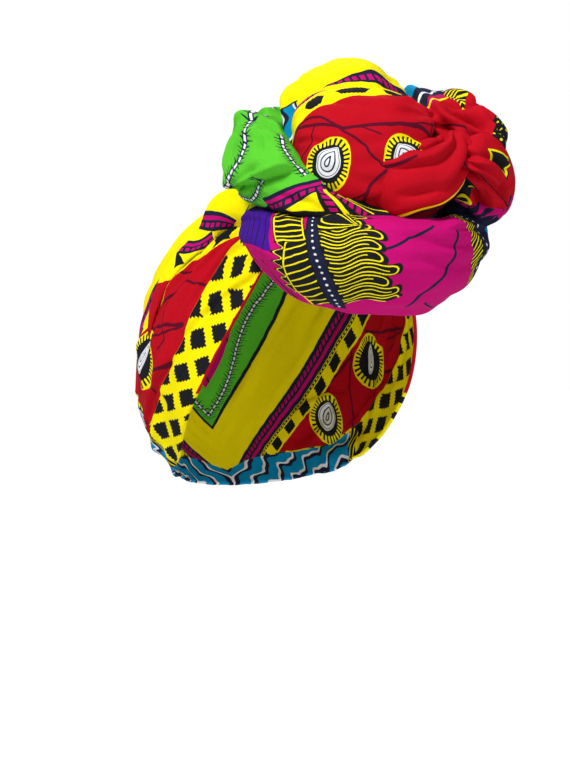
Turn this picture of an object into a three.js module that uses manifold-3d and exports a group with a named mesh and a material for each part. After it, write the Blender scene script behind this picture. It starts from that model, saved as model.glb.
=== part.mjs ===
// A tied African head wrap, in millimetres, +Z up, the wearer looking along -Y and their left at +X.
// The origin is the top of the wearer's crown. A fitted wrap covers the skull and leaves the face open.
// Over the forehead sits a bun of wound cloth, turned a little to the wearer's right: a fat lower roll
// around it, a side roll above that, two twists and a crescent fold drawn to one knot, and a hollow
// puff of cloth in the middle with a second hollow fold standing behind it.

import * as THREE from "three";
import { mergeVertices } from "three/addons/utils/BufferGeometryUtils.js";
import Module from "manifold-3d";

const wasm = await Module();
wasm.setup();

// Driving dimensions.
const HEAD = { halfWidth: 74, halfLength: 95, crown: 100, nape: 90, narrowFront: 0.2 };
const CLOTH = 2.6; // two layers of wax print and the air between them
const EASE = 2.9; // room between the skull and the cloth
const GAP = 0.4; // what two touching pieces keep between them
const PLEAT_GAP = 1.6; // the same over the wrap, whose facets cut across its pleats
const ROLL_END = 0.12; // the share of a roll that each rounded end takes
const DOME_OPENING = 118; // degrees from a dome's pole down to its rim
const BUN = { centre: new THREE.Vector3(-3, -86, -3), turn: 33 }; // degrees, to the wearer's right
// The two domes of the bun: a lean in degrees, and how square their rounded box is.
const PUFF = { centre: [0, -6, 13], half: [45, 50, 42], squareness: 2.5, lean: 12 };
const BACK_FOLD = { centre: [-9, 10, 4], half: [42, 44, 66], squareness: 2.6, lean: 78 };

// The wrap's edge: [degrees from the front, height]. It is the same on both sides.
const WRAP_EDGE = [
  [0, -19], [25, -21], [40, -28], [54, -46], [66, -80],
  [78, -112], [92, -139], [110, -158], [132, -167], [180, -169],
];
// Pleats drawn from under the bun to the nape: [degrees round the gather, height, width in degrees].
const PLEATS = [
  [-118, 5, 9], [-98, 4, 6], [-80, 4, 5], [-150, 4, 10], [175, 4, 11], [140, 4.5, 10], [105, 4, 8],
];
const GATHER = { x: -14, y: -62, reach: 45 }; // where the pleats start, seen from above, and are full
const PLEAT_FOOT = { flat: -165, full: -110 }; // heights between which the pleats die away

// Rolls and folds as knots of [x, y, z, half height, half depth]. Those of the bun are in its own
// frame: x to its right, -y towards its front, z up, from the bun's centre.
const LOWER_ROLL = [
  [-58, 2, -21, 12, 13], [-48, -22, -30, 18, 18], [-26, -36, -41, 27, 22],
  [3, -41, -44, 28, 23], [28, -33, -43, 26, 21], [43, -15, -35, 20, 17],
  [48, 8, -21, 16, 15], [45, 31, -3, 14, 15], [28, 49, 11, 14, 14],
  [0, 55, 15, 14, 14], [-30, 47, 9, 13, 14], [-50, 26, -8, 12, 13],
];
const SIDE_ROLL = [
  [34, -37, -18, 5, 5], [10, -44, -15, 8, 9], [-14, -44, -12, 11, 12], [-36, -37, -4, 17, 15],
  [-54, -19, 10, 22, 18], [-58, 5, 18, 22, 18], [-47, 29, 25, 18, 16], [-24, 47, 31, 16, 15],
  [4, 52, 36, 15, 14], [26, 44, 38, 12, 12], [38, 33, 38, 8, 8],
];
const UPPER_TWIST = [
  [20, 30, 38, 10, 10], [27, 8, 41, 15, 14], [39, -10, 35, 16, 15],
  [53, -19, 26, 15, 14], [62, -20, 15, 10, 10],
];
const LOWER_TWIST = [
  [47, -36, 20, 8, 8], [56, -26, 10, 14, 13], [56, -13, -2, 17, 17],
  [51, -9, -13, 14, 15], [42, -12, -21, 8, 10],
];
const CRESCENT_FOLD = [
  [43, -34, 30, 7, 6], [40, -36, 15, 15, 9], [31, -42, 5, 18, 10],
  [19, -47, -1, 18, 10], [5, -47, -6, 14, 9], [-10, -44, -9, 8, 6],
];
// The upper pleat lies on the wrap: [degrees from the front, degrees up, half width, half thickness].
const UPPER_PLEAT = [
  [-30, 58, 8, 6], [-58, 62, 13, 10], [-82, 57, 15, 10], [-96, 45, 13, 6.5],
  [-103, 31, 11, 5], [-107, 17, 9, 4.5], [-110, 4, 5, 3.5],
];

const radians = THREE.MathUtils.degToRad;

// Moves each vertex of a three.js geometry to the place that its uv gives, so the surface stays closed.
function reshape(geometry, place) {
  const { position, uv } = geometry.attributes;
  for (let i = 0; i < position.count; i++) {
    const at = place(uv.getX(i), uv.getY(i));
    position.setXYZ(i, at.x, at.y, at.z);
  }
  geometry.deleteAttribute("normal");
  geometry.deleteAttribute("uv");
  return geometry;
}

// A closed geometry as a solid that can be cut, with its faces turned outwards.
function solid(geometry) {
  const merged = mergeVertices(geometry, 1e-3);
  const make = (triVerts) =>
    new wasm.Manifold(
      new wasm.Mesh({ numProp: 3, vertProperties: merged.attributes.position.array, triVerts }),
    );
  const corners = new Uint32Array(merged.index.array);
  const made = make(corners);
  return made.volume() > 0 ? made : make(corners.reverse());
}

// The largest body of a cut solid, as a geometry.
function geometryOf(cut) {
  const largest = cut.decompose().sort((a, b) => b.volume() - a.volume())[0];
  const { vertProperties, triVerts } = largest.getMesh();
  const geometry = new THREE.BufferGeometry();
  geometry.setAttribute("position", new THREE.BufferAttribute(new Float32Array(vertProperties), 3));
  geometry.setIndex(new THREE.BufferAttribute(new Uint32Array(triVerts), 1));
  return geometry;
}

// Straight-line reading of a table of [x, y] rows.
function readTable(table, x) {
  const next = Math.max(1, table.findIndex((row) => row[0] >= x));
  const [[fromX, fromY], [toX, toY]] = [table[next - 1], table[next]];
  return THREE.MathUtils.mapLinear(x, fromX, toX, fromY, toY);
}

// A closed roll through knots, grown by some millimetres. Its section is an ellipse whose depth
// points away from the axis that the roll lies around.
function roll(knots, { steps, sides, loop = false, grow = 0, from = new THREE.Vector3() }) {
  const places = knots.map(([x, y, z]) => new THREE.Vector3(x, y, z));
  const halves = knots.map((knot) => new THREE.Vector3(knot[3], knot[4], 0));
  const line = new THREE.CatmullRomCurve3(places, loop);
  const sizes = new THREE.CatmullRomCurve3(halves, loop);
  const surface = (along, round, end) => {
    const centre = line.getPoint(along);
    const tangent = line.getTangent(along);
    const depth = centre.clone().sub(from).projectOnPlane(tangent).normalize();
    const height = new THREE.Vector3().crossVectors(tangent, depth);
    const size = sizes.getPoint(along);
    const angle = round * 2 * Math.PI;
    return centre
      .addScaledVector(tangent, end.shift)
      .addScaledVector(height, (size.x + grow) * end.scale * Math.sin(angle))
      .addScaledVector(depth, (size.y + grow) * end.scale * Math.cos(angle));
  };
  if (loop) {
    const ring = new THREE.TorusGeometry(2, 1, sides, steps);
    return reshape(ring, (u, v) => surface(u % 1, v % 1, { shift: 0, scale: 1 }));
  }
  const ball = new THREE.SphereGeometry(1, sides, steps);
  return reshape(ball, (u, v) => {
    const along = 1 - v;
    const toEnd = Math.min(along, 1 - along) / ROLL_END;
    const scale = toEnd >= 1 ? 1 : Math.sqrt(Math.max(0, 1 - (1 - toEnd) ** 2));
    const side = along < 0.5 ? -1 : 1;
    return surface(along, u % 1, { shift: side * (grow + 2) * Math.max(0, 1 - toEnd), scale });
  });
}

// A shell whose profile runs down its outside from the pole to the rim, then back up its inside.
function shellOnProfile(sides, rings, outside, inside) {
  const count = 2 * rings + 1;
  const profile = [];
  for (let i = 0; i <= count; i++) {
    const down = i <= rings ? i / rings : (count - i) / rings;
    profile.push(new THREE.Vector2(down, 1 - down));
  }
  return reshape(new THREE.LatheGeometry(profile, sides), (u, v) => {
    const i = Math.round(v * count);
    return i <= rings ? outside(u % 1, i / rings) : inside(u % 1, (count - i) / rings);
  });
}

// A point over the skull: degrees from the front towards the wearer's left, lift in radians, offset.
function overHead(turn, lift, offset) {
  const around = radians(turn);
  const level = Math.cos(lift);
  const egg = 1 - HEAD.narrowFront * Math.cos(around);
  const tall = (Math.sin(lift) > 0 ? HEAD.crown : HEAD.nape) + offset;
  return new THREE.Vector3(
    (HEAD.halfWidth + offset) * Math.sin(around) * egg * level,
    -(HEAD.halfLength + offset) * Math.cos(around) * level,
    -HEAD.crown + tall * Math.sin(lift),
  );
}

// How far the pleats lift the cloth at a point over the skull.
function pleatHeight(point) {
  const around = THREE.MathUtils.radToDeg(Math.atan2(point.x - GATHER.x, GATHER.y - point.y));
  const away = Math.hypot(point.x - GATHER.x, point.y - GATHER.y);
  const reach = THREE.MathUtils.smoothstep(away, 0, GATHER.reach);
  const low = THREE.MathUtils.smoothstep(point.z, PLEAT_FOOT.flat, PLEAT_FOOT.full);
  let height = 0;
  for (const [middle, tall, width] of PLEATS) {
    const off = THREE.MathUtils.euclideanModulo(around - middle + 180, 360) - 180;
    height += tall * Math.exp(-((off / width) ** 2));
  }
  return height * reach * low;
}

// A point of the wrap: the share of the way round it, the share of the way down to its edge, and
// layer 0 for its inside or 1 for its outside.
function wrapSurface(share, down, layer) {
  const turn = 180 - share * 360;
  const height = readTable(WRAP_EDGE, Math.abs(turn)) + HEAD.crown;
  const lowest = Math.asin(height / (height > 0 ? HEAD.crown : HEAD.nape));
  const lift = THREE.MathUtils.lerp(Math.PI / 2, lowest, down);
  const raised = pleatHeight(overHead(turn, lift, 0));
  return overHead(turn, lift, EASE + layer * CLOTH + raised);
}

function scalpWrap() {
  const layer = (number) => (share, down) => wrapSurface(share, down, number);
  return shellOnProfile(56, 14, layer(1), layer(0));
}

// The wrap's cloth with the head in it, so that nothing of the bun reaches into the hollow.
function wrapWithHead(grow) {
  const ball = new THREE.SphereGeometry(1, 48, 24);
  return reshape(ball, (u, v) => {
    const turn = u * 360 - 180;
    const lift = (v - 0.5) * Math.PI;
    const raised = pleatHeight(overHead(turn, lift, 0));
    return overHead(turn, lift, EASE + CLOTH + raised + grow);
  });
}

// A dome on a rounded box, its pole leaning up from the bun's front, open opposite the pole.
// Its wall goes the given depth inwards.
function dome({ centre, half, squareness, lean }, { grow = 0, depth = CLOTH } = {}) {
  const wall = (u, v, offset) => {
    const around = u * 2 * Math.PI;
    const out = v * radians(DOME_OPENING);
    const side = Math.sin(out);
    const way = new THREE.Vector3(side * Math.cos(around), -Math.cos(out), side * Math.sin(around))
      .applyAxisAngle(new THREE.Vector3(1, 0, 0), -radians(lean));
    const size = half.map((h) => h + offset);
    const reach = way.toArray().reduce((sum, a, i) => sum + Math.abs(a / size[i]) ** squareness, 0);
    return way.multiplyScalar(reach ** (-1 / squareness)).add(new THREE.Vector3(...centre));
  };
  return shellOnProfile(32, 10, (u, v) => wall(u, v, grow), (u, v) => wall(u, v, -depth));
}

function piece(name, geometry, colour) {
  const fabric = new THREE.MeshStandardMaterial({ color: colour, roughness: 0.85, metalness: 0 });
  const mesh = new THREE.Mesh(geometry, fabric);
  mesh.name = name;
  return mesh;
}

// What each shape is in the bun's frame, grown by a gap where a neighbour is cut by it.
const lowerRoll = (grow) => roll(LOWER_ROLL, { steps: 44, sides: 14, loop: true, grow });
const sideRoll = (grow) => roll(SIDE_ROLL, { steps: 34, sides: 12, grow });
const upperTwist = (grow) => roll(UPPER_TWIST, { steps: 18, sides: 12, grow });
const lowerTwist = (grow) => roll(LOWER_TWIST, { steps: 18, sides: 12, grow });
const crescentFold = (grow) => roll(CRESCENT_FOLD, { steps: 20, sides: 10, grow });

const bun = new THREE.Group();
bun.position.copy(BUN.centre);
bun.rotation.z = -radians(BUN.turn);
bun.updateMatrixWorld(true);

// Each solid of the bun gives way to those before it, as wound cloth is pressed by its neighbours.
const toBun = bun.matrixWorld.clone().invert();
const headInBun = solid(wrapWithHead(PLEAT_GAP).applyMatrix4(toBun));
const lower = solid(lowerRoll(0)).subtract(headInBun);
const crescent = solid(crescentFold(0)).subtract(solid(lowerRoll(GAP)));
const side = solid(sideRoll(0))
  .subtract(headInBun)
  .subtract(solid(lowerRoll(GAP)))
  .subtract(solid(crescentFold(GAP)));
const twistLow = solid(lowerTwist(0))
  .subtract(solid(lowerRoll(GAP)))
  .subtract(solid(crescentFold(GAP)))
  .subtract(solid(sideRoll(GAP)));
const twistHigh = solid(upperTwist(0))
  .subtract(solid(lowerTwist(GAP)))
  .subtract(solid(crescentFold(GAP)))
  .subtract(solid(sideRoll(GAP)));
const rollsAround = solid(lowerRoll(GAP))
  .add(solid(crescentFold(GAP)))
  .add(solid(sideRoll(GAP)))
  .add(solid(lowerTwist(GAP)))
  .add(solid(upperTwist(GAP)))
  .add(headInBun);
const puffShell = solid(dome(PUFF)).subtract(rollsAround).subtract(twistLow).subtract(twistHigh);
const puffFilled = solid(dome(PUFF, { grow: GAP, depth: 36 }));
const foldShell = solid(dome(BACK_FOLD))
  .subtract(rollsAround)
  .subtract(twistLow)
  .subtract(twistHigh)
  .subtract(puffFilled);

bun.add(
  piece("lower_roll", geometryOf(lower), 0xd0127a),
  piece("side_roll", geometryOf(side), 0x55bb33),
  piece("upper_twist", geometryOf(twistHigh), 0xc8101e),
  piece("lower_twist", geometryOf(twistLow), 0xc8101e),
  piece("crescent_fold", geometryOf(crescent), 0xc8101e),
  piece("crown_puff", geometryOf(puffShell), 0xc8101e),
  piece("back_fold", geometryOf(foldShell), 0xffe600),
);

const pleatKnots = UPPER_PLEAT.map(([turn, up, width, thickness]) => {
  const { x, y, z } = overHead(turn, radians(up), EASE + CLOTH);
  return [x, y, z, width, thickness];
});
const headMiddle = new THREE.Vector3(0, 0, -HEAD.crown);
const pleat = solid(roll(pleatKnots, { steps: 22, sides: 10, from: headMiddle }))
  .subtract(solid(wrapWithHead(PLEAT_GAP)))
  .subtract(solid(lowerRoll(GAP).applyMatrix4(bun.matrixWorld)))
  .subtract(solid(sideRoll(GAP).applyMatrix4(bun.matrixWorld)));

const headWrap = new THREE.Group();
headWrap.name = "tied_head_wrap";
headWrap.add(
  piece("scalp_wrap", scalpWrap(), 0xffe600),
  piece("upper_pleat", geometryOf(pleat), 0xffe600),
  bun,
);

export default headWrap;
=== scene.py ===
# A wax-print head wrap tied with a big bun over the forehead. Shapes are worked out in millimetres,
# in the frame's own axes, and made in metres.
import math
import bpy
import numpy as np
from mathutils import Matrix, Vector


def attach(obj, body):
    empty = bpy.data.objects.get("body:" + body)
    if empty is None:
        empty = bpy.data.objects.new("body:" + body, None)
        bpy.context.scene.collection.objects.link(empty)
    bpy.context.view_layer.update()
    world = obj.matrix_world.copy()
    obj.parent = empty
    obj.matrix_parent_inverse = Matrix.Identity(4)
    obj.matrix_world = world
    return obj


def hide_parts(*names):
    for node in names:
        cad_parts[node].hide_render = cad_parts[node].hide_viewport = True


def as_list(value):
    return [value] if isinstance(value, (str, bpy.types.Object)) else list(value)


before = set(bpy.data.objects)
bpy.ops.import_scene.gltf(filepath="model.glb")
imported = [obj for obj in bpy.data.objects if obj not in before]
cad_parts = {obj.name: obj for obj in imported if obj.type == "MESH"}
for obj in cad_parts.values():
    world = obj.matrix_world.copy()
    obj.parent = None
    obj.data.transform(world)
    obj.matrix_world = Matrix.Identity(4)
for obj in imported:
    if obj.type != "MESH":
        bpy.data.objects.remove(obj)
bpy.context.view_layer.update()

# sizes that several pieces share
head = {"halfWidth": 74, "halfLength": 93, "crown": 100, "nape": 90, "narrowFront": 0.2, "ease": 1.2}
bun = {"centre": (-3, -86, -3), "turn": 33}
clothThick = 1.5
foldDepth = {"wrap": 1.45, "bun": 1.75}  # how much deeper the folds below are drawn
wrinkleDepth = 0.42
roundedEnd = 0.1  # share of a roll's length over which each end closes
calmSeam, calmJoin = 12, 30  # how far from a roll's seam and from its join the crumples fade out
perMetre = 1000


def smooth(low, high, x):
    t = np.clip((x - low) / (high - low), 0, 1)
    return t * t * (3 - 2 * t)


def through(knots, t, loop=False):
    # a smooth curve through knots, read at shares t of the way along
    k = np.array(knots, float)
    if loop:
        at = (t % 1) * len(k)
        i = np.floor(at).astype(int)
        picks = [k[(i + j) % len(k)] for j in (-1, 0, 1, 2)]
    else:
        at = np.clip(t, 0, 1) * (len(k) - 1)
        i = np.minimum(np.floor(at).astype(int), len(k) - 2)
        longer = np.vstack([2 * k[0] - k[1], k, 2 * k[-1] - k[-2]])
        picks = [longer[i + j] for j in range(4)]
    f = (at - i)[:, None]
    a, b, c, d = picks
    square = a - 2.5 * b + 2 * c - d / 2
    cube = 1.5 * (b - c) + (d - a) / 2
    return b + f * (c - a) / 2 + f**2 * square + f**3 * cube


def squared(v, power):
    # a sine or cosine bent towards a square
    return np.sign(v) * np.abs(v) ** power


def lengths(points, axis):
    # running length along one way of a grid of points
    step = np.linalg.norm(np.diff(points, axis=axis), axis=-1)
    zero = np.zeros_like(np.take(step, [0], axis=axis))
    return np.concatenate([zero, np.cumsum(step, axis=axis)], axis=axis)


def unit(v):
    return v / np.maximum(np.linalg.norm(v, axis=-1, keepdims=True), 1e-9)


def outward(points, middle):
    # normals of a grid, turned away from its middle line
    a = np.gradient(points, axis=0)
    b = np.gradient(points, axis=1)
    n = unit(np.cross(a, b))
    sign = np.sign((n * (points - middle)).sum(-1, keepdims=True))
    return n * np.where(sign == 0, 1, sign)


def bowed(x, y, start, end, bow):
    # how far along (0 to 1) and how far off a bowed line each place is
    sx, sy = start
    ux, uy = end[0] - sx, end[1] - sy
    long = math.hypot(ux, uy)
    t = ((x - sx) * ux + (y - sy) * uy) / long**2
    off = ((y - sy) * ux - (x - sx) * uy) / long
    return t, off - 4 * bow * t * (1 - t)


def ridge(x, y, start, end, bow=0, width=4, height=2, ends=0.15):
    # a soft fold that dies away at its ends
    t, off = bowed(x, y, start, end, bow)
    fade = smooth(-ends, ends, t) * smooth(1 + ends, 1 - ends, t)
    return height * fade * np.exp(-((off / width) ** 2))


def tuck(x, y, start, end, bow=0, width=8, height=2, step=0.7, ends=0.12):
    # a fold with one steep side, where cloth lies over cloth
    t, off = bowed(x, y, start, end, bow)
    fade = smooth(-ends, ends, t) * smooth(1 + ends, 1 - ends, t)
    rise = 1 / (1 + np.exp(-np.clip(off / step * 2, -40, 40)))
    top = rise * np.exp(-np.maximum(off, 0) / width)
    foot = 0.25 * np.exp(-((off + step) / (2 * step)) ** 2)
    return height * fade * (top - foot)


def addFolds(rise, part, x, y):
    # a height with all the folds of a piece laid on it
    for fold in part.get("ridges", []):
        rise = rise + ridge(x, y, *fold)
    for fold in part.get("tucks", []):
        rise = rise + tuck(x, y, *fold)
    return rise


def wrinkles(x, y):
    # shallow crumples, longer along the cloth than across it
    long = np.sin(x * 0.10 + 1.7 * np.sin(y * 0.15)) * np.sin(y * 0.44 + 1.4 * np.sin(x * 0.07 + 1))
    short = np.sin(x * 0.21 - y * 0.25 + 2) * np.sin(y * 0.33 + x * 0.06)
    return wrinkleDepth * (long + 0.7 * short)


def inBun(points):
    # from the bun's own axes to the frame's
    turn = -math.radians(bun["turn"])
    c, s = math.cos(turn), math.sin(turn)
    x, y, z = points[..., 0], points[..., 1], points[..., 2]
    return np.stack([c * x - s * y, s * x + c * y, z], axis=-1) + np.array(bun["centre"], float)


def meshPiece(name, points, faces, uvs, material):
    # faces are corners of points, uvs go corner by corner in millimetres
    mesh = bpy.data.meshes.new(name)
    mesh.vertices.add(len(points))
    mesh.vertices.foreach_set("co", (points / perMetre).astype(np.float32).ravel())
    sizes = np.array([len(f) for f in faces]) if isinstance(faces, list) else np.full(len(faces), 4)
    flat = np.concatenate([np.asarray(f) for f in faces]) if isinstance(faces, list) else faces.ravel()
    mesh.loops.add(len(flat))
    mesh.loops.foreach_set("vertex_index", flat.astype(np.int32))
    mesh.polygons.add(len(sizes))
    mesh.polygons.foreach_set("loop_start", np.concatenate([[0], np.cumsum(sizes)[:-1]]).astype(np.int32))
    mesh.update(calc_edges=True)
    layer = mesh.uv_layers.new(name="clothPlace")
    layer.uv.foreach_set("vector", (uvs / perMetre).astype(np.float32).ravel())
    mesh.polygons.foreach_set("use_smooth", np.ones(len(sizes), bool))
    mesh.materials.append(material)
    mesh.validate()
    piece = bpy.data.objects.new(name, mesh)
    bpy.context.scene.collection.objects.link(piece)
    return piece


def gridFaces(n, m, loopN=False, loopM=False):
    # quads of a grid, with the place of each corner in the unrolled grid for its uv
    i, j = np.meshgrid(np.arange(n if loopN else n - 1), np.arange(m if loopM else m - 1), indexing="ij")
    i, j = i.ravel(), j.ravel()
    corners = [(i, j), (i + 1, j), (i + 1, j + 1), (i, j + 1)]
    faces = np.stack([(a % n) * m + (b % m) for a, b in corners], axis=1)
    places = np.stack([np.stack([a, b], axis=-1) for a, b in corners], axis=1)
    return faces, places


def sheetPiece(name, outer, inner, uv, material):
    # a cloth wall between two grids, closed round its rim
    n, m = outer.shape[:2]
    faces = gridFaces(n, m)[0]
    grid = np.arange(n * m).reshape(n, m)
    rim = np.concatenate([grid[:, 0], grid[-1, 1:], grid[-2::-1, -1], grid[0, -2:0:-1]])
    nextRim = np.roll(rim, -1)
    sides = np.stack([rim, nextRim, nextRim + n * m, rim + n * m], axis=1)
    allFaces = np.concatenate([faces, faces[:, ::-1] + n * m, sides[:, ::-1]])
    flatUv = uv.reshape(-1, 2)
    uvs = flatUv[allFaces % (n * m)]
    points = np.concatenate([outer.reshape(-1, 3), inner.reshape(-1, 3)])
    area = np.cross(outer[1, 0] - outer[0, 0], outer[0, 1] - outer[0, 0])
    facing = (area * (outer[0, 0] - inner[0, 0])).sum()
    if facing < 0:
        allFaces, uvs = allFaces[:, ::-1], uvs[:, ::-1]
    return meshPiece(name, points, allFaces, uvs, material)


def rollSurface(knots, n, m, loop=False, axis=(0, 0, 0), square=2):
    # a wound roll: its points, the middle line, and how far along and round it each point is
    a = np.arange(n) / n if loop else np.linspace(0, 1, n)
    b = np.arange(m) / m
    rows = through(knots, a, loop)
    centre, halves = rows[:, :3], rows[:, 3:]
    e = 1e-3
    tangent = unit(through(knots, a + e, loop)[:, :3] - through(knots, a - e, loop)[:, :3])
    depth = centre - np.array(axis, float)
    depth = unit(depth - (depth * tangent).sum(-1, keepdims=True) * tangent)
    height = np.cross(tangent, depth)
    scale = np.ones(n)
    if not loop:
        toEnd = np.minimum(a, 1 - a) / roundedEnd
        scale = np.where(toEnd >= 1, 1, np.sqrt(np.maximum(0, 1 - (1 - np.minimum(toEnd, 1)) ** 2)))
        scale = np.maximum(scale, 0.02)
    turn = 2 * np.pi * b
    up = squared(np.sin(turn), 2 / square)
    out = squared(np.cos(turn), 2 / square)
    points = (
        centre[:, None]
        + height[:, None] * (halves[:, 0] * scale)[:, None, None] * up[None, :, None]
        + depth[:, None] * (halves[:, 1] * scale)[:, None, None] * out[None, :, None]
    )
    along = lengths(centre, 0)
    if loop:
        whole = along[-1] + np.linalg.norm(centre[0] - centre[-1])
    else:
        whole = along[-1]
    girth = np.pi * (halves[:, 0] + halves[:, 1])
    around = np.where(b > 0.5, b - 1, b)[None, :] * girth[:, None]
    return {
        "points": points, "middle": np.repeat(centre[:, None], m, axis=1),
        "x": np.repeat(along[:, None], m, axis=1), "y": around,
        "whole": whole, "girth": girth, "loop": loop,
    }


def rollPiece(name, roll, material):
    # the mesh of a roll, its seam on the hidden inner side
    n, m = roll["points"].shape[:2]
    loop = roll["loop"]
    faces, places = gridFaces(n, m, loopN=loop, loopM=True)
    half = m // 2
    x = roll["whole"] * places[..., 0] / n if loop else roll["x"][:, 0][places[..., 0]]
    turns = places[..., 1] / m
    onSeam = (places[..., 1] == half) & (places[:, :1, 1] >= half)
    turns = np.where((places[..., 1] > half) | onSeam, turns - 1, turns)
    y = turns * roll["girth"][places[..., 0] % n]
    uvs = np.stack([x, y], axis=-1)
    points = roll["points"].reshape(-1, 3)
    if not loop:
        first, last = np.arange(m)[::-1], np.arange(m) + (n - 1) * m
        every = np.stack([roll["x"].ravel(), roll["y"].ravel()], axis=-1)
        flat = np.concatenate([uvs.reshape(-1, 2), every[first], every[last]])
        return meshPiece(name, points, [*faces, first, last], flat, material)
    return meshPiece(name, points, faces, uvs, material)


def displaced(roll, height):
    # the roll with its skin moved out by a height at each point
    n = roll["points"]
    if roll["loop"]:
        wide = np.concatenate([n[-1:], n, n[:1]], axis=0)
        wide = np.concatenate([wide[:, -1:], wide, wide[:, :1]], axis=1)
        middle = np.pad(roll["middle"], ((1, 1), (1, 1), (0, 0)), mode="wrap")
        normal = outward(wide, middle)[1:-1, 1:-1]
    else:
        wide = np.concatenate([n[:, -1:], n, n[:, :1]], axis=1)
        middle = np.pad(roll["middle"], ((0, 0), (1, 1), (0, 0)), mode="wrap")
        normal = outward(wide, middle)[:, 1:-1]
    return {**roll, "points": n + normal * height[..., None]}


# values that change over the cloth, written as formulas and laid out as math nodes

class Field:
    def __init__(self, tree, socket):
        self.tree = tree
        self.socket = socket

    def math(self, operation, *others, clamp=False):
        node = self.tree.nodes.new("ShaderNodeMath")
        node.operation = operation
        node.use_clamp = clamp
        for place, value in zip(node.inputs, (self, *others)):
            if isinstance(value, Field):
                self.tree.links.new(value.socket, place)
            else:
                place.default_value = value
        return Field(self.tree, node.outputs[0])

    def __add__(self, other):
        return self.math("ADD", other)

    def __sub__(self, other):
        return self.math("SUBTRACT", other)

    def __rsub__(self, other):
        return (self * -1).math("ADD", other)

    def __mul__(self, other):
        return self.math("MULTIPLY", other)

    def __truediv__(self, other):
        return self.math("DIVIDE", other)

    def __pow__(self, other):
        return self.math("POWER", other)

    __radd__ = __add__
    __rmul__ = __mul__


def least(a, b):
    return a.math("MINIMUM", b)


def most(a, b):
    return a.math("MAXIMUM", b)


def size(a):
    return a.math("ABSOLUTE")


def root(a):
    return a.math("SQRT")


def sine(a):
    return a.math("SINE")


def below(a, b):
    return a.math("LESS_THAN", b)


def above(a, b):
    return a.math("GREATER_THAN", b)


def row(a, pitch):
    return (a / pitch).math("FLOOR")


def remainder(a, pitch):
    return a - row(a, pitch) * pitch


def ink(distance, soft=0.2):
    # 1 where the distance is under 0, with a soft edge
    return (0.5 - distance / soft).math("ADD", 0, clamp=True)


def stripes(a, pitch, width):
    return ink(size(remainder(a, pitch) - pitch * 0.5) - width * 0.5)


def turned(x, y, centreX, centreY, degrees):
    # the same place on axes that are moved and turned
    c, s = math.cos(math.radians(degrees)), math.sin(math.radians(degrees))
    dx, dy = x - centreX, y - centreY
    return dx * c + dy * s, dy * c - dx * s


def nodeGroup(name, inputs, outputs, build):
    # a shader node group with named sockets, built from a formula
    tree = bpy.data.node_groups.new(name, "ShaderNodeTree")
    for label, value in inputs.items():
        kind = "NodeSocketVector" if value is None else "NodeSocketFloat"
        socket = tree.interface.new_socket(label, in_out="INPUT", socket_type=kind)
        if value is not None:
            socket.default_value = value
    for label in outputs:
        tree.interface.new_socket(label, in_out="OUTPUT", socket_type="NodeSocketFloat")
    given = tree.nodes.new("NodeGroupInput")
    result = tree.nodes.new("NodeGroupOutput")
    made = build(*[Field(tree, given.outputs[label]) for label in inputs])
    for label, field in zip(outputs, made if isinstance(made, tuple) else (made,)):
        tree.links.new(field.socket, result.inputs[label])
    return tree


def placed(group, x, y, **values):
    # one use of a print group, at the place x, y
    tree = x.tree
    node = tree.nodes.new("ShaderNodeGroup")
    node.node_tree = group
    for label, value in {"x": x, "y": y, **values}.items():
        socket = node.inputs[label[0].upper() + label[1:]]
        if isinstance(value, Field):
            tree.links.new(value.socket, socket)
        else:
            socket.default_value = value
    found = [Field(tree, socket) for socket in node.outputs]
    return found[0] if len(found) == 1 else found


# the figures of the print, in millimetres; each group gives masks for its inks

def bowedLineFormula(x, y, fromX, fromY, toX, toY, bow, width):
    ux, uy = toX - fromX, toY - fromY
    long = root(ux * ux + uy * uy)
    dx, dy = x - fromX, y - fromY
    t = (dx * ux + dy * uy) / (long * long)
    off = (dy * ux - dx * uy) / long - bow * 4 * t * (1 - t)
    inside = above(t, -0.02) * below(t, 1.02)
    return ink(size(off) - width * 0.5) * inside, t * long, off


bowedLine = nodeGroup(
    "bowedLine",
    {"X": 0, "Y": 0, "FromX": 0, "FromY": 0, "ToX": 10, "ToY": 0, "Bow": 0, "Width": 1},
    ["Line", "Along", "Off"],
    bowedLineFormula,
)


def eyeFormula(x, y, long, wide, core):
    # an egg with a fringed ring and a ribbed core, its point towards X
    egg = 1 - x / long * 0.55
    q = root((x / (long * 0.5)) ** 2 + (size(y) / (wide * 0.5 * egg)) ** 2)
    around = y.math("ARCTAN2", x)
    yellow = ink((q - 1) * 10)
    hairs = sine(around * 30)
    fringe = ink((q - 0.93 - sine(around * 7) * 0.03) * 10) * ink((0.1 - hairs) * 1.0)
    ring = ink((q - 0.72 - hairs * 0.025) * 10)
    behind, ahead = least(x, 0.0), most(x, 0.0)
    w, l = wide * core, long * 0.33
    leaf = root((y / w) ** 2 + (behind / (l * 0.8)) ** 2 + 0.0009) + (ahead / l) ** 2
    heart = ink((leaf - 1) * 5)
    ribs = ink((size(remainder(leaf, 0.36) - 0.18) - 0.055) * 6) * ink((leaf - 0.9) * 6)
    return yellow, heart * (1 - ribs), most(fringe, ring)


eyeFigure = nodeGroup(
    "eyeFigure",
    {"X": 0, "Y": 0, "Long": 30, "Wide": 24, "Core": 0.27},
    ["Yellow", "White", "Black"],
    eyeFormula,
)


def pinkedFormula(x, y, pitchX, pitchY, halfX, halfY, lean):
    # rows of squares with pinked edges, each row shifted by the lean
    r = row(y, pitchY)
    lx = remainder(x - r * lean, pitchX) - pitchX * 0.5
    ly = y - r * pitchY - pitchY * 0.5
    toothX = size(remainder(lx, 2.0) - 1) - 0.5
    toothY = size(remainder(ly, 2.0) - 1) - 0.5
    return ink(most(size(lx) - halfX - toothY * 0.9, size(ly) - halfY - toothX * 0.9))


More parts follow.
